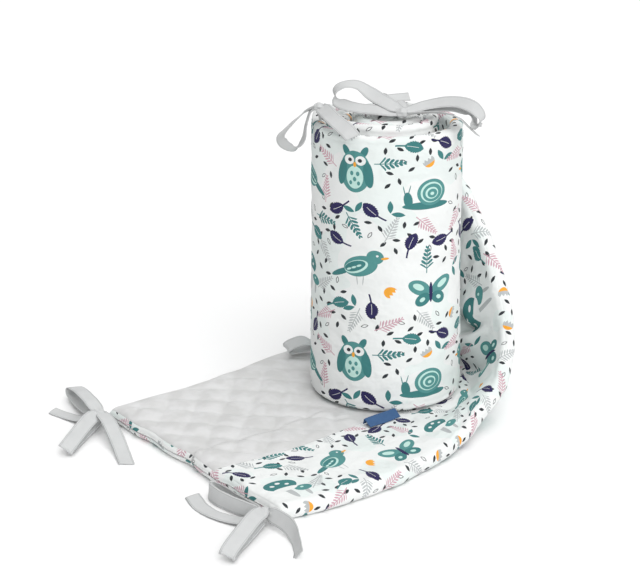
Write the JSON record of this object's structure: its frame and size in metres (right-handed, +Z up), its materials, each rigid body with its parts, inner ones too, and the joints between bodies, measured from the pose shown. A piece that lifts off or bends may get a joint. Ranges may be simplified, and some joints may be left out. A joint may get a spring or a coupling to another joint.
{
  "type": "padded crib bumper",
  "caption": "Padded fabric side bumper for a baby's cot, laid out at one end and rolled up at the other, with ribbon ties at its corners.",
  "frame": {"origin": "on the floor, under the axis of the standing roll, in the pad's flat underside", "axes": "+Z up along the roll's axis; +X from the pad's free end toward the roll; +Y from the printed border toward the plain edge"},
  "size_m": [0.5721, 0.4519, 0.3488],
  "materials": {
    "printed_cotton": "matt cotton, printed with a small woodland design",
    "grey_velvet": "soft quilted velvet",
    "ribbon": "woven ribbon with a slight sheen",
    "blue_tag": "plain woven tag"
  },
  "bodies": {
    "root": {"padded_strip": "printed_cotton", "velvet_panel": "grey_velvet", "border_band": "printed_cotton", "side_label": "blue_tag", "tie_end_far": "ribbon", "tie_end_near": "ribbon", "tie_mid_top": "ribbon", "tie_mid_low": "ribbon", "tie_inner_top": "ribbon"}
  },
  "joints": []
}
